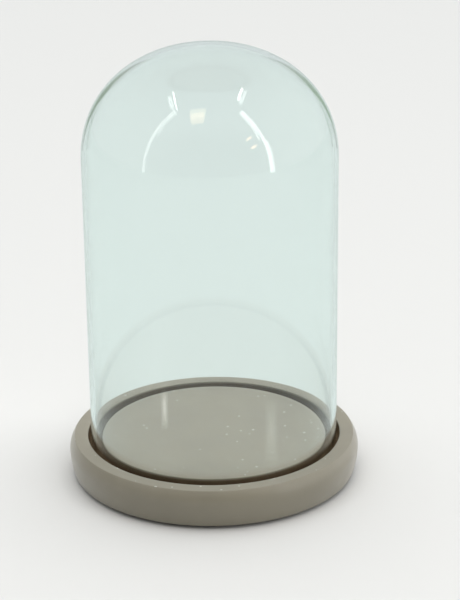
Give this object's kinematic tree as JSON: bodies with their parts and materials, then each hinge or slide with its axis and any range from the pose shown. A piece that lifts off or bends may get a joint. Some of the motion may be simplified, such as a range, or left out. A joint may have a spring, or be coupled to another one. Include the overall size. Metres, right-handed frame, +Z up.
{
  "type": "bell jar dome",
  "caption": "Clear glass bell jar with a domed crown, standing in the ring groove of a round taupe lacquered board on felt pads. The glass lifts straight off.",
  "frame": {"origin": "centre of the board, on the surface that the felt pads stand on", "axes": "+Z up, along the axis of the glass and the board, the way the glass lifts off. The pads lie on the diagonals between X and Y"},
  "size_m": [0.2, 0.2, 0.2998],
  "materials": {
    "clear_glass": "polished",
    "taupe_lacquer": "satin",
    "grey_felt": "matte"
  },
  "bodies": {
    "base": {"base_board": "taupe_lacquer", "foot_pad_1": "grey_felt", "foot_pad_2": "grey_felt", "foot_pad_3": "grey_felt", "foot_pad_4": "grey_felt"},
    "dome": {"glass_dome": "clear_glass"}
  },
  "joints": [
    {"name": "dome_lift", "type": "slide", "parent": "base", "child": "dome", "axis": [0, 0, 1], "range_m": [0, 0.3]}
  ]
}
